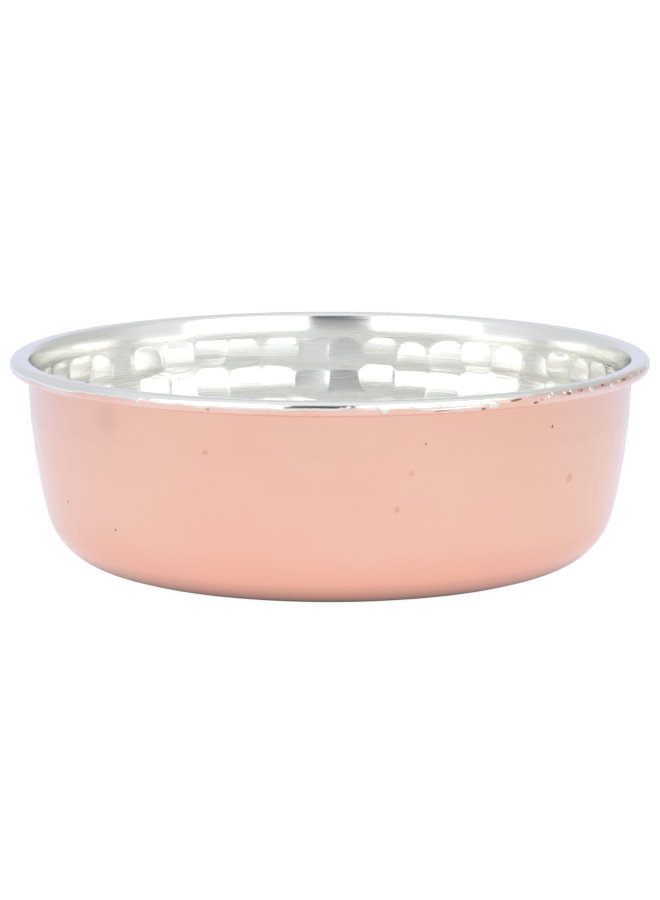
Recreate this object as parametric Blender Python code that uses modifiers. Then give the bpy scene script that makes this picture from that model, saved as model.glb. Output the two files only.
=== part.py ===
"""A tin-lined hammered copper bowl with a rolled, wired rim.

The bowl is one raised sheet of copper. Its top edge is turned outwards into a
nearly flat lip and rolled down round a steel wire, which stiffens the rim.
Molten tin was wiped over the inside, over the lip and over the roll, and ends
on the roll's outer face. The hammer marks are left to the visual model; these
solids are smooth.

Axes: +Z up, origin in the middle of the flat base. Every section below is
drawn in the XZ plane in millimetres and turned about Z.
"""

from math import cos, pi, radians, sin

import bpy
from mathutils import Vector

MM = 0.001

# Driving dimensions, in millimetres and degrees.
RIM_DIAMETER = 200.0  # outside of the rolled rim
HEIGHT = 66.0  # table to the top of the rim
COPPER = 0.9  # sheet thickness
TIN = 0.2  # lining thickness
COAT_GAP = 0.1  # clearance between the lining and the sheet
ROLL_RADIUS = 2.5  # outside of the roll, over the tin
CROWN_RADIUS = 17.0  # face of the tin on the nearly flat top, inside the roll
CROWN_END = 8.0  # slope above the horizontal where the top turns down into the bowl
LIP_RADIUS = 1.6  # face of the tin round that bend
LIP_END = 75.0  # slope where the bend meets the plain band above the hammer marks
BAND_RADIUS = 27.5  # face of the tin on the plain band
ROLL_END = -247.5  # slope of the sheet where its hidden edge stops
TIN_END = -90.0  # slope of the sheet where the tin stops: the roll's widest point
NECK_LEAN = 1.5  # wall's lean from the vertical, at the foot of the plain band
FOOT_LEAN = 14.0  # wall's lean where the rounded corner begins
CORNER_RADIUS = 21.0  # outside of the rounded corner
CORNER_LEAN = 70.5  # lean where the corner eases into the base
EASE_RADIUS = 43.0  # outside of the gentle curve between corner and base
WIRE_RADIUS = 1.0
WIRE_BUTT = 0.6  # space left between the two ends of the wire

# How finely the round shapes are divided.
TURN_STEPS = 60
EASE_STEPS = 3
CORNER_STEPS = 6
WALL_STEPS = 4
BAND_STEPS = 3
LIP_STEPS = 4
CROWN_STEPS = 1
ROLL_STEPS = 11
MERGE_DISTANCE = 0.00001

WALL_THICKNESS = COPPER + COAT_GAP + TIN
OUTER_ROLL = ROLL_RADIUS - WALL_THICKNESS  # the outside face, hidden in the roll
OUTER_CROWN = CROWN_RADIUS - WALL_THICKNESS
OUTER_LIP = LIP_RADIUS - WALL_THICKNESS
OUTER_BAND = BAND_RADIUS - WALL_THICKNESS
ROLL_CENTRE = Vector((RIM_DIAMETER / 2 - ROLL_RADIUS, HEIGHT - ROLL_RADIUS))


def left_of(heading):
    """Unit vector to the left of a path that climbs at this angle: into the bowl."""
    return Vector((-sin(radians(heading)), cos(radians(heading))))


def arc(centre, radius, first, last, steps):
    """(point, heading) pairs along an arc, from one heading to another.

    A positive radius turns left, towards the inside of the bowl, and a
    negative one turns right. The first point is left out, because it is the
    last one of the stretch before.
    """
    headings = [first + (last - first) * i / steps for i in range(1, steps + 1)]
    return [(centre - left_of(h) * radius, h) for h in headings]


def outside_face():
    """(point, heading) pairs up the copper's outside face.

    They run from the middle of the base to the edge hidden in the roll. The
    rim fixes the neck, and the corner's arcs then fix the width of the base.
    """
    crown_centre = ROLL_CENTRE + left_of(0.0) * (OUTER_ROLL - OUTER_CROWN)
    lip_centre = crown_centre + left_of(CROWN_END) * (OUTER_CROWN - OUTER_LIP)
    band_centre = lip_centre + left_of(LIP_END) * (OUTER_LIP - OUTER_BAND)
    neck_heading = 90 - NECK_LEAN
    neck = band_centre + left_of(neck_heading) * OUTER_BAND

    foot_heading = 90 - FOOT_LEAN
    ease_heading = 90 - CORNER_LEAN
    ease_rise = EASE_RADIUS * (1 - cos(radians(ease_heading)))
    corner_rise = CORNER_RADIUS * (cos(radians(ease_heading)) - cos(radians(foot_heading)))
    foot_height = ease_rise + corner_rise
    wall_turn = cos(radians(foot_heading)) - cos(radians(neck_heading))
    wall_radius = (neck.y - foot_height) / wall_turn

    wall_centre = neck + left_of(neck_heading) * wall_radius
    foot = wall_centre - left_of(foot_heading) * wall_radius
    corner_centre = foot + left_of(foot_heading) * CORNER_RADIUS
    corner_end = corner_centre - left_of(ease_heading) * CORNER_RADIUS
    ease_centre = corner_end + left_of(ease_heading) * EASE_RADIUS

    middle = (Vector((0, 0)), 0.0)
    base_edge = (Vector((ease_centre.x, 0)), 0.0)
    return [
        middle,
        base_edge,
        *arc(ease_centre, EASE_RADIUS, 0.0, ease_heading, EASE_STEPS),
        *arc(corner_centre, CORNER_RADIUS, ease_heading, foot_heading, CORNER_STEPS),
        *arc(wall_centre, wall_radius, foot_heading, neck_heading, WALL_STEPS),
        *arc(band_centre, -OUTER_BAND, neck_heading, LIP_END, BAND_STEPS),
        *arc(lip_centre, -OUTER_LIP, LIP_END, CROWN_END, LIP_STEPS),
        *arc(crown_centre, -OUTER_CROWN, CROWN_END, 0.0, CROWN_STEPS),
        *arc(ROLL_CENTRE, -OUTER_ROLL, 0.0, ROLL_END, ROLL_STEPS),
    ]


def offset(path, inwards):
    """The path's points moved into the bowl by this much."""
    return [point + left_of(heading) * inwards for point, heading in path]


def metal(name, colour, roughness):
    """A plain metallic finish."""
    material = bpy.data.materials.new(name)
    material.use_nodes = True
    shader = material.node_tree.nodes["Principled BSDF"]
    shader.inputs["Base Color"].default_value = (*colour, 1.0)
    shader.inputs["Metallic"].default_value = 1.0
    shader.inputs["Roughness"].default_value = roughness
    return material


def turned_sheet(name, points, thickness, material, collection):
    """A sheet of this thickness, turned about Z, inside the line of points.

    The line runs from the rim to the middle of the base, so that the turned
    faces point out of the bowl and Solidify thickens them inwards.
    """
    mesh = bpy.data.meshes.new(name)
    corners = [(p.x * MM, 0.0, p.y * MM) for p in reversed(points)]
    edges = [(i, i + 1) for i in range(len(corners) - 1)]
    mesh.from_pydata(corners, edges, [])
    sheet = bpy.data.objects.new(name, mesh)
    collection.objects.link(sheet)

    turn = sheet.modifiers.new("turn", "SCREW")
    turn.axis = "Z"
    turn.angle = 2 * pi
    turn.steps = TURN_STEPS
    turn.render_steps = TURN_STEPS
    turn.use_merge_vertices = True
    turn.merge_threshold = MERGE_DISTANCE
    turn.use_smooth_shade = True

    wall = sheet.modifiers.new("thickness", "SOLIDIFY")
    wall.thickness = thickness * MM
    wall.offset = -1.0
    wall.use_even_offset = True
    mesh.materials.append(material)
    return sheet


def wire_ring(name, material, collection):
    """The round wire inside the roll: one length bent round, its ends nearly meeting."""
    curve = bpy.data.curves.new(name, "CURVE")
    curve.dimensions = "3D"
    curve.bevel_depth = WIRE_RADIUS * MM
    curve.bevel_resolution = 2
    curve.use_fill_caps = True
    spline = curve.splines.new("POLY")
    spline.points.add(TURN_STEPS)
    butt = WIRE_BUTT / ROLL_CENTRE.x
    for i, point in enumerate(spline.points):
        angle = butt / 2 + (2 * pi - butt) * i / TURN_STEPS
        x = ROLL_CENTRE.x * cos(angle) * MM
        y = ROLL_CENTRE.x * sin(angle) * MM
        point.co = (x, y, ROLL_CENTRE.y * MM, 1.0)
    wire = bpy.data.objects.new(name, curve)
    wire.data.materials.append(material)
    collection.objects.link(wire)
    return wire


def main():
    for obj in list(bpy.data.objects):
        bpy.data.objects.remove(obj)
    bowl = bpy.data.collections.new("hammered_copper_bowl")
    bpy.context.scene.collection.children.link(bowl)

    copper = metal("polished_copper", (0.93, 0.58, 0.48), 0.25)
    tin = metal("wiped_tin", (0.80, 0.80, 0.76), 0.20)
    steel = metal("steel_wire", (0.45, 0.44, 0.43), 0.45)

    face = outside_face()
    tinned = [pair for pair in face if pair[1] >= TIN_END]
    turned_sheet("copper_shell", offset(face, 0.0), COPPER, copper, bowl)
    turned_sheet("tin_lining", offset(tinned, COPPER + COAT_GAP), TIN, tin, bowl)
    wire_ring("rim_wire", steel, bowl)


main()
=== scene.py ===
"""A tin-lined hammered copper bowl, standing on a pale table in soft light.

Each piece of sheet is turned as a smooth surface, hammered from outside, and
given its thickness. The tin is the same hammered surface, moved inwards.
Lengths are in metres and angles in degrees, unless a name says otherwise.
The slope of the sheet is its profile's heading: 90 on an upright wall, 0 on the
crest of the roll and -90 at the roll's widest point.
"""

import random
from math import atan2, cos, degrees, exp, pi, radians, sin, sqrt

import bmesh
import bpy
import numpy as np
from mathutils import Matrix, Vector, noise

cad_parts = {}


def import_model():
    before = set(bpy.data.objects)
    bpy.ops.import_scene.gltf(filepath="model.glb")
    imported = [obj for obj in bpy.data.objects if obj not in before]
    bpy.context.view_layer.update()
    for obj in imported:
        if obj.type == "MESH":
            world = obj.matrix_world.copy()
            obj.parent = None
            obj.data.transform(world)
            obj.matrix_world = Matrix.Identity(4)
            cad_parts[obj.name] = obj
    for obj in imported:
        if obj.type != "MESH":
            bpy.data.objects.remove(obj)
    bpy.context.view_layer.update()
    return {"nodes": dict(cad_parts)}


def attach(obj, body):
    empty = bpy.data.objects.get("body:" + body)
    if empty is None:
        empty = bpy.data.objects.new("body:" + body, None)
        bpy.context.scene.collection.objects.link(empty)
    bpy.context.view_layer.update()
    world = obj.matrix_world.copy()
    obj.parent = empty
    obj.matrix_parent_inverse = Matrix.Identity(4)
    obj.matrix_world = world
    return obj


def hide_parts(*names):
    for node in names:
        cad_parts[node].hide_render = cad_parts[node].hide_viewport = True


MM = 0.001

# ---------------------------------------------------------------- the bowl
RIM_RADIUS = 100.0 * MM
HEIGHT = 66.0 * MM
COPPER = 0.9 * MM
TIN = 0.2 * MM
COAT_GAP = 0.1 * MM  # from the sheet's inside face to the back of the tin
ROLL_RADIUS = 2.5 * MM  # outside of the roll, over the tin
CROWN_RADIUS = 17.5 * MM  # of the nearly flat top, inside the roll
CROWN_HEADING = 8.0  # slope of the sheet where the top turns down into the bowl
LIP_RADIUS = 1.6 * MM
LIP_HEADING = 77.0
FUNNEL_RADIUS = 32.0 * MM  # of the plain band above the hammer marks
ROLL_END = -247.5
NECK_LEAN = 1.5
FOOT_LEAN = 14.0
CORNER_RADIUS = 21.0 * MM
CORNER_LEAN = 70.5
EASE_RADIUS = 43.0 * MM

WALL_THICKNESS = COPPER + COAT_GAP + TIN
OUTER_ROLL = ROLL_RADIUS - WALL_THICKNESS
ROLL_CENTRE = Vector((RIM_RADIUS - ROLL_RADIUS, 0.0, HEIGHT - ROLL_RADIUS))
NECK_HEADING = 90.0 - NECK_LEAN
FOOT_HEADING = 90.0 - FOOT_LEAN
EASE_HEADING = 90.0 - CORNER_LEAN

# How finely each piece is turned and divided.
BODY_TURNS = 720
TIN_WALL_TURNS = 1008
RIM_TURNS = 960
TIN_RIM_TURNS = 1416
SECTORS = 24  # equal parts of a turn, copied round the bowl
MERGE_DISTANCE = 1e-6
BODY_STEPS = (8, 4, 15)  # in the base, the ease and the corner of the profile
BOTTOM_STEPS = (8, 4, 20)
BODY_WALL_STEPS, BOTTOM_WALL_STEPS, TIN_WALL_STEPS = 37, 14, 46
FUNNEL_STEPS, LIP_STEPS, CROWN_STEPS = 6, 10, 2
COPPER_ROLL_STEPS, TIN_ROLL_STEPS = 26, 15
SHARP_EDGE = 55.0  # faces that meet at more than this look sharp

# Rows of hammer marks: distance down the sheet from the neck, number in the
# row, azimuth of one mark, size and depth of a mark.
MARK_ROWS = (
    (5.3 * MM, 50, 3.6, 5.3 * MM, 0.42 * MM),
    (15.3 * MM, 51, 0.5, 5.5 * MM, 0.46 * MM),
    (26.3 * MM, 50, -2.6, 5.3 * MM, 0.28 * MM),
    (37.8 * MM, 50, 1.2, 5.2 * MM, 0.18 * MM),
    (48.8 * MM, 46, -1.5, 5.0 * MM, 0.08 * MM),
)
MARK_DRIFT = 0.75 * MM  # how far a mark strays from its place
MARK_BREADTH = 1.52  # width of a mark over its height
MARK_SKEW = 0.35  # the deepest place lies this far below the middle of a mark
MARK_POWER = 1.6  # 2 for a round bottom; less for a flatter slope on each side
RIDGE_HEIGHT, RIDGE_SPREAD = 0.060 * MM, 0.085 * MM  # of the ridge between two marks
OUTSIDE_SHARE = 0.30  # of a mark's depth is left outside by the polishing
WAVE_HEIGHT = 0.05 * MM  # unevenness of the whole wall
WAVE_LENGTH = 26.0 * MM
MARKS_START, MARKS_FULL = 0.26 * MM, 1.56 * MM  # distances down from the neck
MARKS_END, MARKS_FADE = 64.0 * MM, 10.0 * MM  # and where they fade out, over the floor

# The tin's ragged edge: azimuth from the front, and the sheet's slope there.
TIN_EDGE = (
    (-180, -84), (-120, -92), (-90, -80), (-66, -88), (-54, -96), (-42, -78), (-28, -73),
    (-23, -96), (-14, -88), (0, -89), (4, -76), (9, -78), (12, -63), (15, -96), (17.5, -98),
    (20, -69), (29, -66), (34, -57), (42, -46), (52, -48), (66, -40), (85, -70), (120, -88),
    (150, -78), (180, -84),
)
EDGE_RAGGEDNESS = ((13.0 * MM, 7.0), (3.6 * MM, 7.0), (1.3 * MM, 5.0))  # wavelength, swing
TIN_LOWEST = -90.0  # slope at the last ring of tin before its edge is made ragged
TIN_CREST = -0.1  # rings on the roll are further round than this
TIN_RIM_GAP = 0.01 * MM  # from the copper to the back of the tin on the roll
TIN_LUMP, TIN_LUMP_LENGTH = 0.05 * MM, 3.0 * MM
TIN_THIN_FROM, TIN_THIN = 0.80, 0.13 * MM  # the tin thins towards its edge by this much
# Azimuth, half width and reach in degrees of slope of each drip.
TIN_DRIPS = (
    (-34.4, 0.7 * MM, 30), (-21.8, 1.3 * MM, 8), (9.2, 1.5 * MM, 38), (16.2, 0.9 * MM, 8),
    (71.0, 1.2 * MM, 25), (104.0, 1.8 * MM, 34), (139.0, 0.8 * MM, 22), (171.0, 1.4 * MM, 30),
    (-158.0, 1.0 * MM, 26), (-117.0, 1.6 * MM, 32), (-83.0, 0.9 * MM, 24),
)
# Azimuth, slope, half length, half width, height and climb of each drop on the roll.
TIN_DROPS = (
    (22.3, -101, 9.6 * MM, 0.30 * MM, 0.16 * MM, 6), (28.7, -92, 1.9 * MM, 1.2 * MM, 0.22 * MM),
    (40.4, -75, 0.6 * MM, 0.55 * MM, 0.26 * MM), (41.3, -55, 0.5 * MM, 0.5 * MM, 0.26 * MM),
    (44.3, -62, 0.8 * MM, 0.5 * MM, 0.2 * MM), (45.8, -60, 0.5 * MM, 0.5 * MM, 0.2 * MM),
    (51.4, -70, 1.1 * MM, 0.9 * MM, 0.26 * MM), (58.2, -82, 1.0 * MM, 0.9 * MM, 0.26 * MM),
    (61.0, -60, 0.9 * MM, 0.5 * MM, 0.2 * MM), (67.0, -55, 1.2 * MM, 0.5 * MM, 0.2 * MM),
    (96.0, -104, 0.7 * MM, 0.6 * MM, 0.24 * MM), (-148.0, -110, 0.9 * MM, 0.6 * MM, 0.24 * MM),
    (154.0, -98, 2.6 * MM, 0.4 * MM, 0.18 * MM, 8), (-101.0, -112, 0.6 * MM, 0.5 * MM, 0.2 * MM),
)
FLUX_MARKS = (
    (33.2, -74, 2.2 * MM, 0.35 * MM, 0.05 * MM, 5), (37.4, -112, 0.9 * MM, 0.4 * MM, 0.05 * MM),
    (26.8, -122, 0.8 * MM, 0.4 * MM, 0.05 * MM), (19.5, -112, 3.4 * MM, 0.2 * MM, 0.04 * MM, 6),
    (45.2, -76, 1.0 * MM, 0.5 * MM, 0.05 * MM), (48.6, -66, 0.6 * MM, 0.4 * MM, 0.05 * MM),
    (55.0, -62, 1.0 * MM, 0.4 * MM, 0.05 * MM), (63.0, -64, 1.6 * MM, 0.4 * MM, 0.05 * MM),
    (110.0, -104, 1.5 * MM, 0.3 * MM, 0.04 * MM), (-140.0, -108, 1.2 * MM, 0.4 * MM, 0.04 * MM),
)

# Azimuth, distance from the axis, height and radius of single spots on the body.
BODY_SPECKS = (
    (-14.4, 93.9 * MM, 52.9 * MM, 0.50 * MM), (-45.8, 89.5 * MM, 21.4 * MM, 0.55 * MM),
    (-61.4, 90.6 * MM, 26.6 * MM, 0.55 * MM), (44.8, 93.9 * MM, 53.6 * MM, 0.60 * MM),
    (17.4, 93.9 * MM, 52.2 * MM, 0.50 * MM), (98.0, 93.5 * MM, 47.6 * MM, 0.55 * MM),
    (-122.0, 93.1 * MM, 43.0 * MM, 0.50 * MM), (163.0, 91.8 * MM, 32.9 * MM, 0.55 * MM),
)
BODY_STAINS = (
    (-23.0, 93.6 * MM, 48.9 * MM, 1.2 * MM), (14.8, 93.2 * MM, 43.6 * MM, 1.1 * MM),
    (12.4, 91.7 * MM, 32.5 * MM, 1.2 * MM), (51.0, 92.3 * MM, 36.4 * MM, 1.8 * MM),
    (117.0, 93.1 * MM, 43.0 * MM, 1.3 * MM), (-96.0, 91.8 * MM, 32.9 * MM, 1.2 * MM),
)
BODY_SMUDGES = ((-45.0, 94.0 * MM, 56.0 * MM, 6.5 * MM), (128.0, 93.6 * MM, 49.0 * MM, 5.0 * MM))

# Colours, in linear light.
COPPER_COLOUR = (0.945, 0.555, 0.440, 1)
COPPER_FILM = (0.945, 0.590, 0.485, 1)
COPPER_WARM = (0.950, 0.570, 0.430, 1)
# Painted shade: the copper is coloured deeper towards the foot and darker at its bottom edge, where
# shade falls.
COPPER_FOOT_PAINTED_SHADE = (0.955, 0.500, 0.390, 1)
COPPER_UNDER_PAINTED_SHADE = (0.820, 0.380, 0.290, 1)
COPPER_STAIN = (0.760, 0.360, 0.200, 1)
RIM_PALE = (0.925, 0.690, 0.640, 1)
RIM_WARM = (0.920, 0.590, 0.480, 1)
SPECK_COLOUR = (0.180, 0.110, 0.090, 1)
TIN_COLOUR = (0.915, 0.912, 0.880, 1)
TIN_SHADE = (0.890, 0.890, 0.850, 1)
TIN_SPECK = (0.420, 0.430, 0.420, 1)
SPOT_WARP = 1.6 * MM  # how uneven the edges of spots are
SMUDGE_COLOUR = (0.640, 0.400, 0.320, 1)
WALL_LEFT = (0.70, 0.715, 0.755, 1)
WALL_RIGHT = (0.60, 0.605, 0.60, 1)
WALL_FRONT = (0.82, 0.83, 0.86, 1)
WALL_BEHIND = (0.75, 0.775, 0.89, 1)
CEILING = (0.88, 0.90, 0.93, 1)
GAP_LOW = (0.66, 0.66, 0.65, 1)
GAP_MIDDLE = (0.22, 0.23, 0.26, 1)
GAP_HIGH = (0.09, 0.09, 0.10, 1)
GAP_MIDDLE_X, GAP_HALF_WIDTH = -0.055, 0.225  # sines of angles from straight ahead
TABLE_COLOUR = (0.40, 0.40, 0.40, 1)
# Painted light: the table glows, more strongly near the bowl, in a colour going from white in front
# to bluish behind.
TABLE_GLOW, TABLE_GLOW_FAR = 0.54, 0.43
TABLE_GLOW_FRONT = (1.00, 0.99, 0.97, 1)
TABLE_GLOW_BACK = (0.93, 1.10, 1.42, 1)
TABLE_EVENNESS = 0.93
# Painted shadow: the table's glow fades over these distances from the bowl's axis.
PAINTED_SHADOW_START, PAINTED_SHADOW_END = 85.0 * MM, 68.0 * MM  # the table darkens towards the foot
TABLE_HALF_WIDTH = 6.0
TABLE_SEEN_GLOW = 1.05

# Place, width, height and radiance of each upright soft light.
SOFTBOXES = {
    "left_softbox": ((-0.80, -0.93, 1.15), 1.05, 2.00, 1.12),
    "right_softbox": ((0.70, -1.00, 1.15), 1.20, 2.00, 1.12),
}
CAMERA_LENS, CAMERA_DISTANCE = 165.8, 1.3  # millimetres of focal length; metres
CAMERA_ELEVATION, AIM_HEIGHT = 9.53, 35.3 * MM


# ------------------------------------------------------------- the profile
def into_bowl(heading):
    """Unit vector to the left of a profile that climbs at this angle."""
    return Vector((-sin(radians(heading)), 0.0, cos(radians(heading))))


def next_centre(centre, heading, radius, next_radius):
    """The centre of the arc that carries on smoothly from one on its right."""
    return centre + into_bowl(heading) * (radius - next_radius)


def profile_centres():
    """The arcs' centres, worked down from the rim to the edge of the base."""
    crown_radius = CROWN_RADIUS - WALL_THICKNESS
    lip_radius = LIP_RADIUS - WALL_THICKNESS
    funnel_radius = FUNNEL_RADIUS - WALL_THICKNESS
    crown = next_centre(ROLL_CENTRE, 0.0, OUTER_ROLL, crown_radius)
    lip = next_centre(crown, CROWN_HEADING, crown_radius, lip_radius)
    funnel = next_centre(lip, LIP_HEADING, lip_radius, funnel_radius)
    neck = funnel + into_bowl(NECK_HEADING) * funnel_radius
    ease_rise = EASE_RADIUS * (1 - cos(radians(EASE_HEADING)))
    corner_rise = CORNER_RADIUS * (cos(radians(EASE_HEADING)) - cos(radians(FOOT_HEADING)))
    wall_turn = cos(radians(FOOT_HEADING)) - cos(radians(NECK_HEADING))
    wall_radius = (neck.z - ease_rise - corner_rise) / wall_turn
    wall = neck + into_bowl(NECK_HEADING) * wall_radius
    corner = wall + into_bowl(FOOT_HEADING) * (CORNER_RADIUS - wall_radius)
    ease = corner + into_bowl(EASE_HEADING) * (EASE_RADIUS - CORNER_RADIUS)
    return {"crown": crown, "lip": lip, "funnel": funnel, "neck": neck, "wall": wall,
            "corner": corner, "ease": ease}


CENTRES = profile_centres()
NECK = CENTRES["neck"]
WALL_RADIUS = (CENTRES["wall"] - NECK).length
BASE_RADIUS = CENTRES["ease"].x
SEAM_HEADING = NECK_HEADING - 0.1  # body and rim pieces meet here, just below the neck
BREAK_HEADING = 79.2  # the tin's wall and bottom pieces meet here


def bend(bm, tip, centre, turn, steps):
    """Carries the end of a profile round an arc; a positive turn is a left turn."""
    swept = bmesh.ops.spin(
        bm, geom=[tip], cent=centre, axis=(0, 1, 0), angle=radians(-turn), steps=steps,
        use_duplicate=False,
    )
    return next(v for v in swept["geom_last"] if isinstance(v, bmesh.types.BMVert))


def run_out(bm, tip, distance, steps):
    """Carries the end of a profile straight outwards, in equal steps."""
    for _ in range(steps):
        made = bmesh.ops.extrude_vert_indiv(bm, verts=[tip])["verts"]
        tip = made[0]
        bmesh.ops.translate(bm, verts=made, vec=(distance / steps, 0, 0))
    return tip


def spin_about_axis(bm, angle, steps, copies):
    """Spins everything so far about Z, as one surface or as separate copies."""
    bmesh.ops.spin(
        bm, geom=bm.verts[:] + bm.edges[:] + bm.faces[:], cent=(0, 0, 0), axis=(0, 0, 1),
        angle=angle, steps=steps, use_duplicate=copies,
    )


def turn_about_axis(bm, steps):
    """Turns the profile once about Z: one sector, then its copies, joined up."""
    sector = 2 * pi / SECTORS
    spin_about_axis(bm, sector, steps // SECTORS, False)
    spin_about_axis(bm, 2 * pi - sector, SECTORS - 1, True)
    bmesh.ops.remove_doubles(bm, verts=bm.verts, dist=MERGE_DISTANCE)


def face_outwards(bm):
    """Makes an open surface's normals agree, and point out of the bowl or down."""
    bmesh.ops.recalc_face_normals(bm, faces=bm.faces)
    lowest = min(bm.faces, key=lambda f: f.calc_center_median().z)
    place = lowest.calc_center_median().normalized()
    if lowest.normal.dot(place - Vector((0, 0, 1))) < 0:
        bmesh.ops.reverse_faces(bm, faces=bm.faces)


def finished(bm, name):
    """A smooth-shaded object from a bmesh, with hard edges where a sheet ends."""
    mesh = bpy.data.meshes.new(name)
    bm.to_mesh(mesh)
    bm.free()
    mesh.shade_smooth()
    mesh.set_sharp_from_angle(angle=radians(SHARP_EDGE))
    piece = bpy.data.objects.new(name, mesh)
    bpy.context.scene.collection.objects.link(piece)
    return piece


# --------------------------------------------------------------- hammering
def sheet_distance(co):
    """How far each point is down the sheet from the neck, for an array of points."""
    r = np.hypot(co[:, 0], co[:, 1])
    z = co[:, 2]
    down = np.zeros(len(co))
    arcs = (
        ("wall", WALL_RADIUS, NECK_HEADING, FOOT_HEADING),
        ("corner", CORNER_RADIUS, FOOT_HEADING, EASE_HEADING),
        ("ease", EASE_RADIUS, EASE_HEADING, 0.0),
    )
    for name, radius, first, last in arcs:
        centre = CENTRES[name]
        heading = np.degrees(np.arctan2(r - centre.x, centre.z - z))
        turned = np.clip(first - heading, 0, first - last)
        down += np.radians(turned) * radius
    flat = z < 1e-5
    down[flat] += BASE_RADIUS - r[flat]
    return down, r


def hammer_marks():
    """(azimuth, distance down, radius, depth) of every mark, the same each time."""
    rng = random.Random(11)
    marks = []
    for down, count, first, radius, depth in MARK_ROWS:
        for i in range(count):
            azimuth = first + 360.0 * i / count + degrees(rng.gauss(0, MARK_DRIFT) / NECK.x)
            strayed = down + rng.gauss(0, MARK_DRIFT)
            size = radius * rng.uniform(0.92, 1.10)
            marks.append((azimuth, strayed, size, depth * rng.uniform(0.78, 1.10)))
    return marks


def dish_depths(co, marks):
    """How deep the marks are at each point; neighbours meet in a crisp ridge."""
    down, r = sheet_distance(co)
    azimuth = np.degrees(np.arctan2(co[:, 0], -co[:, 1]))
    depth = np.zeros(len(co))
    second = np.zeros(len(co))
    for centre, place, size, deep in marks:
        across = np.radians((azimuth - centre + 180) % 360 - 180) * r
        near = (np.abs(across) < size * 2) & (np.abs(down - place) < size * 1.5)
        lower = (down[near] - place) / size - MARK_SKEW
        lower /= np.where(lower < 0, 1 + MARK_SKEW, 1 - MARK_SKEW)
        spread = (across[near] / size / MARK_BREADTH) ** 2 + np.abs(lower) ** MARK_POWER
        dish = deep * (1.12 - spread)
        second[near] = np.maximum(second[near], np.minimum(depth[near], dish))
        depth[near] = np.maximum(depth[near], dish)
    ridge = RIDGE_HEIGHT * np.exp(-(((depth - second) / RIDGE_SPREAD) ** 2))
    return depth - ridge * np.clip(second / (0.05 * MM), 0, 1)


def waviness(co):
    """Slow unevenness left by raising the sheet by hand."""
    return np.array([
        noise.noise(Vector(p) / WAVE_LENGTH) + 0.5 * noise.noise(Vector(p) / WAVE_LENGTH * 2.3)
        for p in co
    ])


def mesh_points(bm):
    bm.verts.ensure_lookup_table()
    bm.normal_update()
    co = np.array([v.co[:] for v in bm.verts])
    normals = np.array([v.normal[:] for v in bm.verts])
    return co, normals


def move_in(bm, co, normals, distance):
    """Moves each point into the bowl, against its normal, by its own distance."""
    moved = co - normals * distance[:, None]
    for vert, point in zip(bm.verts, moved):
        vert.co = point


def fade_near_edges(co):
    """1 on the wall, falling smoothly to 0 at the neck and over the flat base."""
    down, _ = sheet_distance(co)
    top = np.clip((down - MARKS_START) / (MARKS_FULL - MARKS_START), 0, 1)
    bottom = np.clip((MARKS_END - down) / MARKS_FADE, 0, 1)
    return top * top * (3 - 2 * top) * bottom * bottom * (3 - 2 * bottom)


# ------------------------------------------------------------- body pieces
def lower_profile(bm, steps):
    """The profile from the middle of the base to the top of the rounded corner."""
    base_steps, ease_steps, corner_steps = steps
    tip = run_out(bm, bm.verts.new((0, 0, 0)), BASE_RADIUS, base_steps)
    tip = bend(bm, tip, CENTRES["ease"], EASE_HEADING, ease_steps)
    return bend(bm, tip, CENTRES["corner"], FOOT_HEADING - EASE_HEADING, corner_steps)


def body_surface():
    """The outside face from the middle of the base to the seam, turned but not hammered."""
    bm = bmesh.new()
    tip = lower_profile(bm, BODY_STEPS)
    bend(bm, tip, CENTRES["wall"], SEAM_HEADING - FOOT_HEADING, BODY_WALL_STEPS)
    turn_about_axis(bm, BODY_TURNS)
    face_outwards(bm)
    return bm


def bottom_surface():
    """The same face, from the middle of the base to the break in the tin's wall."""
    bm = bmesh.new()
    tip = lower_profile(bm, BOTTOM_STEPS)
    bend(bm, tip, CENTRES["wall"], BREAK_HEADING - FOOT_HEADING, BOTTOM_WALL_STEPS)
    turn_about_axis(bm, BODY_TURNS)
    face_outwards(bm)
    return bm


def wall_surface():
    """The same face, from the break up to the seam, divided more finely."""
    bm = bmesh.new()
    tip = bm.verts.new(CENTRES["wall"] - into_bowl(BREAK_HEADING) * WALL_RADIUS)
    bend(bm, tip, CENTRES["wall"], SEAM_HEADING - BREAK_HEADING, TIN_WALL_STEPS)
    turn_about_axis(bm, TIN_WALL_TURNS)
    face_outwards(bm)
    return bm


def hammered(bm, marks, share, inset, thickness, name):
    """A piece of sheet: the surface hammered, moved in by an inset, and thickened."""
    co, normals = mesh_points(bm)
    fade = fade_near_edges(co)
    relief = dish_depths(co, marks) * share + waviness(co) * WAVE_HEIGHT
    move_in(bm, co, normals, relief * fade + inset)
    bm.normal_update()
    bmesh.ops.solidify(bm, geom=bm.faces, thickness=thickness)
    return finished(bm, name)


# -------------------------------------------------------------- rim pieces
def rim_surface(inwards, roll_end, roll_steps, turns):
    """A face of the sheet from the seam, up the plain band, and round the roll."""
    bm = bmesh.new()
    tip = bm.verts.new(CENTRES["wall"] - into_bowl(SEAM_HEADING) * (WALL_RADIUS - inwards))
    tip = bend(bm, tip, CENTRES["wall"], NECK_HEADING - SEAM_HEADING, 1)
    tip = bend(bm, tip, CENTRES["funnel"], LIP_HEADING - NECK_HEADING, FUNNEL_STEPS)
    tip = bend(bm, tip, CENTRES["lip"], CROWN_HEADING - LIP_HEADING, LIP_STEPS)
    tip = bend(bm, tip, CENTRES["crown"], -CROWN_HEADING, CROWN_STEPS)
    bend(bm, tip, ROLL_CENTRE, roll_end, roll_steps)
    turn_about_axis(bm, turns)
    face_outwards(bm)
    return bm


def on_roll(azimuth, slope, height):
    """The point at this height over the roll's centre line, where the sheet has this slope."""
    across = ROLL_CENTRE + into_bowl(slope) * height
    a = radians(azimuth)
    return Vector((across.x * sin(a), -across.x * cos(a), across.z))


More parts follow.
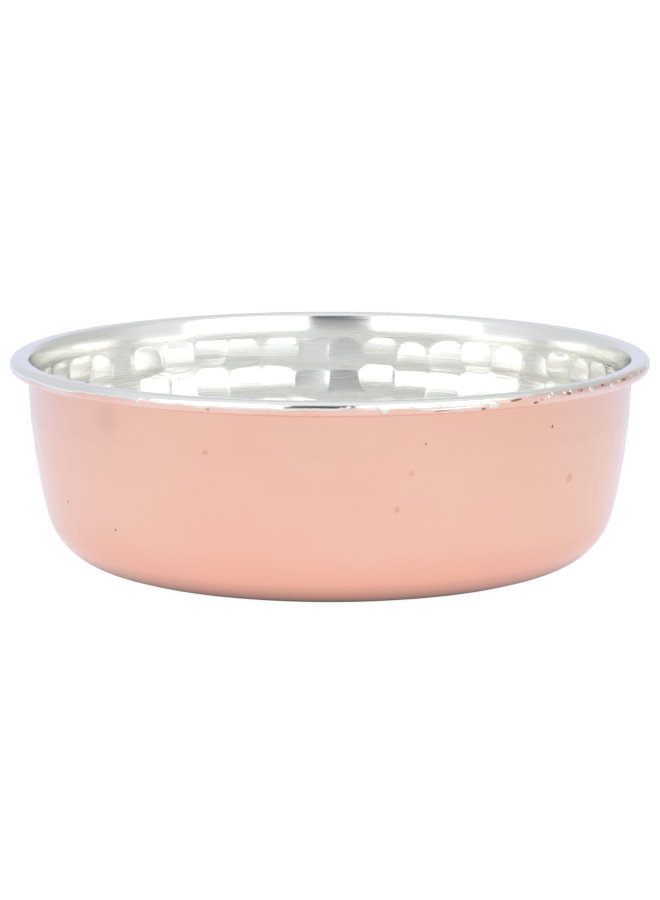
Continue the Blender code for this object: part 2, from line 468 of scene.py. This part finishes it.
def roll_place(point):
    """(azimuth, slope, height) of a point near the roll: the reverse of on_roll."""
    out = sqrt(point.x**2 + point.y**2) - ROLL_CENTRE.x
    up = point.z - ROLL_CENTRE.z
    azimuth = degrees(atan2(point.x, -point.y))
    return azimuth, degrees(atan2(-out, up)), sqrt(out * out + up * up)


def copper_rim():
    """The plain band, the lip and the roll, with its own edge hidden underneath."""
    bm = rim_surface(0.0, ROLL_END, COPPER_ROLL_STEPS, RIM_TURNS)
    bmesh.ops.solidify(bm, geom=bm.faces, thickness=COPPER)
    return finished(bm, "copper_rim")


def smooth_step(value):
    clipped = min(max(value, 0.0), 1.0)
    return clipped * clipped * (3 - 2 * clipped)


def wiped_edge(azimuth):
    """The slope of the sheet where the wiped tin stops, at this azimuth."""
    stop = None
    for (a0, s0), (a1, s1) in zip(TIN_EDGE, TIN_EDGE[1:]):
        if a0 <= azimuth <= a1:
            stop = s0 + (s1 - s0) * smooth_step((azimuth - a0) / (a1 - a0))
    place = Vector((cos(radians(azimuth)), sin(radians(azimuth)), 0)) * RIM_RADIUS
    ragged = 0.0
    for wavelength, swing in EDGE_RAGGEDNESS:
        ragged += swing * noise.noise(place / wavelength)
    for centre, half_width, reach in TIN_DRIPS:
        across = radians((azimuth - centre + 180) % 360 - 180) * RIM_RADIUS / half_width
        ragged -= reach * exp(-across * across)
    return stop + ragged


def tin_rim():
    """The tin over the plain band and the crest, down to its ragged edge on the roll."""
    back = COPPER + TIN_RIM_GAP
    bm = rim_surface(back, TIN_LOWEST, TIN_ROLL_STEPS, TIN_RIM_TURNS)
    bmesh.ops.solidify(bm, geom=bm.faces, thickness=WALL_THICKNESS - back)
    for vert in bm.verts:
        azimuth, slope, height = roll_place(vert.co)
        if slope > TIN_CREST or vert.co.z < ROLL_CENTRE.z - ROLL_RADIUS:
            continue
        share = slope / TIN_LOWEST
        skin = height - OUTER_ROLL - back
        if skin > 0.5 * (WALL_THICKNESS - back):
            lump = noise.noise(vert.co / TIN_LUMP_LENGTH)
            thin = smooth_step((share - TIN_THIN_FROM) / (1 - TIN_THIN_FROM))
            height -= TIN_LUMP * (1 - lump) + TIN_THIN * thin
        vert.co = on_roll(azimuth, wiped_edge(azimuth) * share, height)
    return finished(bm, "tin_rim")


def wrapped_drop(bm, azimuth, slope, half_length, half_width, height, climb=0.0):
    """Adds a drop of metal lying on the roll, longer round the rim than across it."""
    drop = bmesh.ops.create_icosphere(bm, subdivisions=3, radius=1.0)["verts"]
    surface = OUTER_ROLL + COPPER
    for vert in drop:
        along, across, up = vert.co
        vert.co = on_roll(
            azimuth + degrees(along * half_length / RIM_RADIUS),
            slope + climb * along + degrees(across * half_width / surface),
            surface + up * height,
        )


def drops_piece(name, drops):
    bm = bmesh.new()
    for drop in drops:
        wrapped_drop(bm, *drop)
    bmesh.ops.recalc_face_normals(bm, faces=bm.faces)
    return finished(bm, name)


# --------------------------------------------------------------- materials
def new_material(name):
    material = bpy.data.materials.new(name)
    material.use_nodes = True
    return material, material.node_tree, material.node_tree.nodes["Principled BSDF"]


def node(tree, kind, inputs=None, **settings):
    """Adds a node; inputs are values or sockets by name or number."""
    made = tree.nodes.new(kind)
    for key, value in settings.items():
        setattr(made, key, value)
    for key, value in (inputs or {}).items():
        socket = made.inputs[key]
        if isinstance(value, bpy.types.NodeSocket):
            tree.links.new(value, socket)
        else:
            socket.default_value = value
    return made


def math_node(tree, operation, a, b=0.0, clamp=False):
    return node(tree, "ShaderNodeMath", {0: a, 1: b}, operation=operation, use_clamp=clamp).outputs[0]


def mix_colour(tree, share, a, b):
    mixed = node(tree, "ShaderNodeMix", {"Factor": share, "A": a, "B": b}, data_type="RGBA")
    return mixed.outputs["Result"]


def remap(tree, value, low, high, to_low=0.0, to_high=1.0):
    return node(
        tree, "ShaderNodeMapRange",
        {"Value": value, "From Min": low, "From Max": high, "To Min": to_low, "To Max": to_high},
    ).outputs["Result"]


def object_place(tree):
    return node(tree, "ShaderNodeTexCoord").outputs["Object"]


def height_up(tree):
    return node(tree, "ShaderNodeSeparateXYZ", {0: object_place(tree)}).outputs[2]


def axis_distance(tree, place):
    """How far a place is from the bowl's axis."""
    apart = node(tree, "ShaderNodeSeparateXYZ", {0: place}).outputs
    flat = node(tree, "ShaderNodeCombineXYZ", {0: apart[0], 1: apart[1]}).outputs[0]
    return node(tree, "ShaderNodeVectorMath", {0: flat}, operation="LENGTH").outputs["Value"]


def mix_value(tree, share, a, b):
    """The value a where share is 0, and b where it is 1."""
    change = math_node(tree, "MULTIPLY", share, math_node(tree, "SUBTRACT", b, a))
    return math_node(tree, "ADD", a, change)


def group_with(name, inputs, outputs):
    """A new shader node group with float inputs and outputs."""
    tree = bpy.data.node_groups.new(name, "ShaderNodeTree")
    for label, default in inputs:
        socket = tree.interface.new_socket(label, in_out="INPUT", socket_type="NodeSocketFloat")
        socket.default_value = default
    for label in outputs:
        tree.interface.new_socket(label, in_out="OUTPUT", socket_type="NodeSocketFloat")
    return tree, tree.nodes.new("NodeGroupInput"), tree.nodes.new("NodeGroupOutput")


def lathe_lines_group():
    """Fine lines round the bowl, as a buffing wheel or a wiping rag leaves them."""
    tree, given, out = group_with("lathe_lines", (("Fineness", 1800.0), ("Wander", 0.3)), ("Lines",))
    place = object_place(tree)
    drift = node(tree, "ShaderNodeTexNoise", {"Vector": place, "Scale": 35.0, "Detail": 1.0})
    wander = math_node(tree, "MULTIPLY", given.outputs["Wander"], 0.01)
    shift = math_node(tree, "MULTIPLY", drift.outputs[0], wander)
    from_neck = math_node(tree, "ABSOLUTE", math_node(tree, "SUBTRACT", height_up(tree), NECK.z))
    across = math_node(tree, "SUBTRACT", axis_distance(tree, place), from_neck)
    across = math_node(tree, "ADD", across, shift)
    lines = node(
        tree, "ShaderNodeTexNoise",
        {"W": across, "Scale": given.outputs["Fineness"], "Detail": 3.0, "Roughness": 0.65},
        noise_dimensions="1D",
    ).outputs[0]
    tree.links.new(lines, out.inputs["Lines"])
    return tree


def specks_group():
    """Scattered round specks: 1 inside a speck and 0 elsewhere."""
    tree, given, out = group_with(
        "specks", (("Density", 150.0), ("Share", 0.1), ("Size", 0.1)), ("Speck",)
    )
    place = object_place(tree)
    cells = node(tree, "ShaderNodeTexVoronoi", {"Vector": place, "Scale": given.outputs["Density"]})
    pick = node(tree, "ShaderNodeSeparateColor", {0: cells.outputs["Color"]}).outputs[0]
    chosen = math_node(tree, "LESS_THAN", pick, given.outputs["Share"])
    near = math_node(tree, "DIVIDE", cells.outputs["Distance"], given.outputs["Size"])
    inside = remap(tree, near, 1.0, 0.5)
    tree.links.new(math_node(tree, "MULTIPLY", chosen, inside), out.inputs["Speck"])
    return tree


def use_group(tree, group, **values):
    return node(tree, "ShaderNodeGroup", values, node_tree=group).outputs[0]


def clouds(tree, scale, detail=3.0, seed=0.0):
    """Soft cloudy noise on the object's own coordinates."""
    place = object_place(tree)
    moved = node(tree, "ShaderNodeMapping", {"Vector": place, "Location": (seed, seed, 0)}).outputs[0]
    cloud = node(tree, "ShaderNodeTexNoise", {"Vector": moved, "Scale": scale, "Detail": detail})
    return cloud.outputs[0]


def placed_spots(tree, spots):
    """1 inside any of the listed spots, falling to 0 at their uneven edges."""
    place = object_place(tree)
    drift = node(tree, "ShaderNodeTexNoise", {"Vector": place, "Scale": 600.0}).outputs["Color"]
    shift = node(tree, "ShaderNodeVectorMath", {0: drift, 1: (0.5, 0.5, 0.5)}, operation="SUBTRACT")
    warped = node(
        tree, "ShaderNodeVectorMath",
        {0: shift.outputs[0], 1: (SPOT_WARP, SPOT_WARP, SPOT_WARP), 2: place},
        operation="MULTIPLY_ADD",
    ).outputs[0]
    inside = 0.0
    for azimuth, radius, height, size in spots:
        a = radians(azimuth)
        centre = (radius * sin(a), -radius * cos(a), height)
        away = node(tree, "ShaderNodeVectorMath", {0: warped, 1: centre}, operation="DISTANCE")
        spot = remap(tree, away.outputs["Value"], size, 0.4 * size)
        inside = math_node(tree, "MAXIMUM", spot, inside)
    return inside


def copper_tone(tree, groups):
    """The body's colour, with its stains and specks, painted shade that deepens it towards the foot
    and darkens its bottom edge, and how milky it is.
    """
    film = remap(tree, clouds(tree, 22.0), 0.35, 0.70)
    colour = mix_colour(tree, film, COPPER_COLOUR, COPPER_FILM)
    warm = remap(tree, clouds(tree, 9.0, 2.0, 3.0), 0.50, 0.80, 0.0, 0.6)
    colour = mix_colour(tree, warm, colour, COPPER_WARM)
    height = height_up(tree)
    # Painted shade: deeper copper below 20 mm, and darker copper over the last 6 mm at the bottom.
    colour = mix_colour(tree, remap(tree, height, 20 * MM, 8 * MM), colour, COPPER_FOOT_PAINTED_SHADE)
    colour = mix_colour(tree, remap(tree, height, 6 * MM, 1 * MM), colour, COPPER_UNDER_PAINTED_SHADE)
    stain = use_group(tree, groups["specks"], Density=55.0, Share=0.05, Size=0.16)
    colour = mix_colour(tree, math_node(tree, "MULTIPLY", stain, 0.5), colour, COPPER_STAIN)
    smudge = math_node(tree, "MULTIPLY", placed_spots(tree, BODY_SMUDGES), 0.22)
    colour = mix_colour(tree, smudge, colour, SMUDGE_COLOUR)
    stain = math_node(tree, "MULTIPLY", placed_spots(tree, BODY_STAINS), 0.55)
    colour = mix_colour(tree, stain, colour, COPPER_STAIN)
    speck = use_group(tree, groups["specks"], Density=85.0, Share=0.02, Size=0.05)
    speck = math_node(tree, "MAXIMUM", speck, placed_spots(tree, BODY_SPECKS))
    return mix_colour(tree, speck, colour, SPECK_COLOUR), film


def copper_lines(tree, groups):
    """Buffing lines on the body, with the roughness they give."""
    lines = use_group(tree, groups["lines"], Fineness=1100.0, Wander=0.25)
    return lines, remap(tree, lines, 0.3, 0.7, 0.18, 0.23)


def lacquered(shader):
    """Metal under a thin clear film."""
    shader.inputs["Metallic"].default_value = 1.0
    shader.inputs["Coat Weight"].default_value = 0.6
    shader.inputs["Coat Roughness"].default_value = 0.12


def polished_copper(groups):
    """Buffed copper, on the body."""
    material, tree, shader = new_material("polished_copper")
    colour, film = copper_tone(tree, groups)
    tree.links.new(colour, shader.inputs["Base Color"])
    lines, roughness = copper_lines(tree, groups)
    tree.links.new(math_node(tree, "ADD", roughness, math_node(tree, "MULTIPLY", film, 0.06)),
                   shader.inputs["Roughness"])
    bump = node(tree, "ShaderNodeBump", {"Height": lines, "Strength": 0.25, "Distance": 0.002 * MM})
    tree.links.new(bump.outputs[0], shader.inputs["Normal"])
    lacquered(shader)
    return material


def rim_copper(groups):
    """The same copper at the rim; on the roll it is paler, scuffed and pitted."""
    material, tree, shader = new_material("rim_copper")
    radius = axis_distance(tree, object_place(tree))
    rolled = remap(tree, radius, 95.1 * MM, 95.6 * MM)
    body, _ = copper_tone(tree, groups)
    scuffed = mix_colour(tree, remap(tree, clouds(tree, 60.0), 0.4, 0.65), RIM_PALE, RIM_WARM)
    pit = use_group(tree, groups["specks"], Density=420.0, Share=0.10, Size=0.30)
    scuffed = mix_colour(tree, math_node(tree, "MULTIPLY", pit, 0.8), scuffed, COPPER_STAIN)
    tree.links.new(mix_colour(tree, rolled, body, scuffed), shader.inputs["Base Color"])

    _, smooth = copper_lines(tree, groups)
    lines = use_group(tree, groups["lines"], Fineness=2600.0, Wander=0.4)
    rough = remap(tree, lines, 0.3, 0.7, 0.20, 0.38)
    tree.links.new(mix_value(tree, rolled, smooth, rough), shader.inputs["Roughness"])
    relief = math_node(tree, "SUBTRACT", lines, math_node(tree, "MULTIPLY", pit, 2.0))
    relief = math_node(tree, "MULTIPLY", relief, rolled)
    bump = node(tree, "ShaderNodeBump", {"Height": relief, "Strength": 0.6, "Distance": 0.012 * MM})
    tree.links.new(bump.outputs[0], shader.inputs["Normal"])
    lacquered(shader)
    return material


def wiped_tin(groups):
    """Bright tin, wiped round the bowl with a rag while molten; smoother at the rim."""
    material, tree, shader = new_material("wiped_tin")
    cloud = remap(tree, clouds(tree, 30.0), 0.35, 0.70)
    colour = mix_colour(tree, cloud, TIN_COLOUR, TIN_SHADE)
    dull = use_group(tree, groups["specks"], Density=120.0, Share=0.05, Size=0.10)
    colour = mix_colour(tree, math_node(tree, "MULTIPLY", dull, 0.5), colour, TIN_SPECK)
    tree.links.new(colour, shader.inputs["Base Color"])
    lines = use_group(tree, groups["lines"], Fineness=900.0, Wander=0.5)
    streaks = math_node(tree, "MULTIPLY", lines, clouds(tree, 45.0, 2.0, 5.0))
    polished = remap(tree, streaks, 0.15, 0.40, 0.10, 0.24)
    scratches = use_group(tree, groups["lines"], Fineness=5200.0, Wander=0.8)
    scratched = remap(tree, scratches, 0.44, 0.56, 0.10, 0.30)
    at_rim = remap(tree, height_up(tree), 60.5 * MM, 62.5 * MM)
    tree.links.new(mix_value(tree, at_rim, scratched, polished), shader.inputs["Roughness"])
    relief = math_node(tree, "MULTIPLY", lines, remap(tree, at_rim, 0.0, 1.0, 1.0, 0.4))
    bump = node(tree, "ShaderNodeBump", {"Height": relief, "Strength": 0.8, "Distance": 0.010 * MM})
    tree.links.new(bump.outputs[0], shader.inputs["Normal"])
    shader.inputs["Metallic"].default_value = 1.0
    return material


def burnt_flux():
    """Brown scale left on the roll where flux burnt during tinning."""
    material, tree, shader = new_material("burnt_flux")
    colour = mix_colour(tree, clouds(tree, 900.0), (0.16, 0.07, 0.05, 1), (0.42, 0.22, 0.16, 1))
    tree.links.new(colour, shader.inputs["Base Color"])
    bump = node(tree, "ShaderNodeBump",
                {"Height": clouds(tree, 1500.0), "Strength": 0.5, "Distance": 0.05 * MM})
    tree.links.new(bump.outputs[0], shader.inputs["Normal"])
    shader.inputs["Roughness"].default_value = 0.55
    return material


def drawn_steel(groups):
    """The stiffening wire, dull from the drawing die."""
    material, tree, shader = new_material("drawn_steel")
    lines = use_group(tree, groups["lines"], Fineness=3000.0, Wander=0.1)
    tree.links.new(mix_colour(tree, lines, (0.38, 0.37, 0.36, 1), (0.52, 0.51, 0.50, 1)),
                   shader.inputs["Base Color"])
    tree.links.new(remap(tree, lines, 0.3, 0.7, 0.35, 0.50), shader.inputs["Roughness"])
    shader.inputs["Metallic"].default_value = 1.0
    return material


# ------------------------------------------------------- table, light, view
def table_finish():
    """White, which the camera sees as evenly bright. Its glow is painted light, brighter near the
    bowl and bluish behind, with a painted shadow only where the bowl stands.
    """
    material, tree, shader = new_material("white_table")
    shader.inputs["Base Color"].default_value = TABLE_COLOUR
    shader.inputs["Roughness"].default_value = 0.9
    place = object_place(tree)
    away = node(tree, "ShaderNodeVectorMath", {0: place}, operation="LENGTH").outputs["Value"]
    depth = node(tree, "ShaderNodeSeparateXYZ", {0: place}).outputs[1]
    glow_tint = mix_colour(tree, remap(tree, depth, -0.1, 0.25), TABLE_GLOW_FRONT, TABLE_GLOW_BACK)
    tree.links.new(glow_tint, shader.inputs["Emission Color"])
    # Painted light and painted shadow: the glow is stronger near the bowl and fades right under its
    # edge.
    strength = remap(tree, away, 0.09, 0.35, TABLE_GLOW, TABLE_GLOW_FAR)
    painted_shadow = remap(tree, away, PAINTED_SHADOW_END, PAINTED_SHADOW_START, 0.1, 1.0)
    tree.links.new(math_node(tree, "MULTIPLY", strength, painted_shadow), shader.inputs["Emission Strength"])
    glow = node(tree, "ShaderNodeEmission", {"Color": (1, 1, 1, 1), "Strength": TABLE_SEEN_GLOW})
    seen = node(tree, "ShaderNodeLightPath").outputs["Is Camera Ray"]
    share = math_node(tree, "MULTIPLY", seen, TABLE_EVENNESS)
    mixed = node(tree, "ShaderNodeMixShader", {0: share, 1: shader.outputs[0], 2: glow.outputs[0]})
    output = next(n for n in tree.nodes if n.type == "OUTPUT_MATERIAL")
    tree.links.new(mixed.outputs[0], output.inputs["Surface"])
    return material


def table_top():
    """A plain pale surface, wide enough to fill the view."""
    bm = bmesh.new()
    bmesh.ops.create_grid(bm, x_segments=1, y_segments=1, size=TABLE_HALF_WIDTH)
    table = finished(bm, "table_top")
    table.data.materials.append(table_finish())


def softbox(name, location, width, height, radiance):
    """An upright rectangular soft light, facing the bowl."""
    light = bpy.data.lights.new(name, "AREA")
    light.shape = "RECTANGLE"
    light.size, light.size_y = width, height
    light.energy = radiance * pi * width * height
    lamp = bpy.data.objects.new(name, light)
    lamp.location = location
    aim = Vector((-location[0], -location[1], 0))
    lamp.rotation_euler = aim.to_track_quat("-Z", "Y").to_euler()
    bpy.context.scene.collection.objects.link(lamp)


def studio_surround():
    """Pale walls all round, with the darker gap between the front lights."""
    world = bpy.data.worlds.new("studio")
    world.use_nodes = True
    tree = world.node_tree
    tree.nodes.clear()
    direction = node(tree, "ShaderNodeTexCoord").outputs["Generated"]
    x, y, z = node(tree, "ShaderNodeSeparateXYZ", {0: direction}).outputs
    aside = math_node(tree, "ABSOLUTE", math_node(tree, "SUBTRACT", x, GAP_MIDDLE_X))
    gap = remap(tree, aside, GAP_HALF_WIDTH + 0.03, GAP_HALF_WIDTH - 0.03)
    gap = math_node(tree, "MULTIPLY", gap, remap(tree, y, 0.05, -0.10))
    gap = math_node(tree, "MULTIPLY", gap, remap(tree, z, 0.92, 0.80))
    gap_colour = mix_colour(tree, remap(tree, z, 0.0, 0.30), GAP_LOW, GAP_MIDDLE)
    gap_colour = mix_colour(tree, remap(tree, z, 0.30, 0.44), gap_colour, GAP_HIGH)
    wall = mix_colour(tree, remap(tree, x, -0.3, 0.3), WALL_LEFT, WALL_RIGHT)
    wall = mix_colour(tree, remap(tree, y, 0.2, -0.2), wall, WALL_FRONT)
    wall = mix_colour(tree, remap(tree, y, 0.86, 0.97), wall, WALL_BEHIND)
    wall = mix_colour(tree, remap(tree, z, 0.6, 0.95), wall, CEILING)
    colour = mix_colour(tree, gap, wall, gap_colour)
    background = node(tree, "ShaderNodeBackground", {"Color": colour, "Strength": 1.0})
    output = node(tree, "ShaderNodeOutputWorld")
    tree.links.new(background.outputs[0], output.inputs["Surface"])
    bpy.context.scene.world = world


def camera():
    view = bpy.data.cameras.new("camera")
    view.lens = CAMERA_LENS
    view.clip_start, view.clip_end = 0.05, 30.0
    eye = bpy.data.objects.new("camera", view)
    elevation = radians(CAMERA_ELEVATION)
    aim = Vector((0, 0, AIM_HEIGHT))
    eye.location = aim + Vector((0, -cos(elevation), sin(elevation))) * CAMERA_DISTANCE
    eye.rotation_euler = (aim - eye.location).to_track_quat("-Z", "Y").to_euler()
    bpy.context.scene.collection.objects.link(eye)
    bpy.context.scene.camera = eye


def light_and_view():
    table_top()
    studio_surround()
    for name, settings in SOFTBOXES.items():
        softbox(name, *settings)
    camera()
    bpy.context.scene.view_settings.view_transform = "Standard"


def dress(piece, material, slot, *replaced):
    """Gives a piece its finish, ties it to the bowl, and hides the CAD nodes it stands for."""
    piece.data.materials.append(material)
    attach(piece, "root")
    if replaced:
        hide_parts(*replaced)


def main():
    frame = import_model()
    groups = {"lines": lathe_lines_group(), "specks": specks_group()}
    tin = wiped_tin(groups)
    marks = hammer_marks()
    inset = COPPER + COAT_GAP
    copper_body = hammered(body_surface(), marks, OUTSIDE_SHARE, 0.0, COPPER, "copper_body")
    tin_wall = hammered(wall_surface(), marks, 1.0, inset, TIN, "tin_wall")
    tin_bottom = hammered(bottom_surface(), marks, 1.0, inset, TIN, "tin_bottom")
    dress(copper_body, polished_copper(groups), "copper", "copper_shell")
    dress(copper_rim(), rim_copper(groups), "copper", "copper_shell")
    dress(tin_wall, tin, "tin", "tin_lining")
    dress(tin_bottom, tin, "tin", "tin_lining")
    dress(tin_rim(), tin, "tin", "tin_lining")
    dress(drops_piece("tin_drops", TIN_DROPS), tin, "tin")
    dress(drops_piece("flux_marks", FLUX_MARKS), burnt_flux(), "copper")
    frame["nodes"]["rim_wire"].data.materials.clear()
    frame["nodes"]["rim_wire"].data.materials.append(drawn_steel(groups))
    light_and_view()


main()
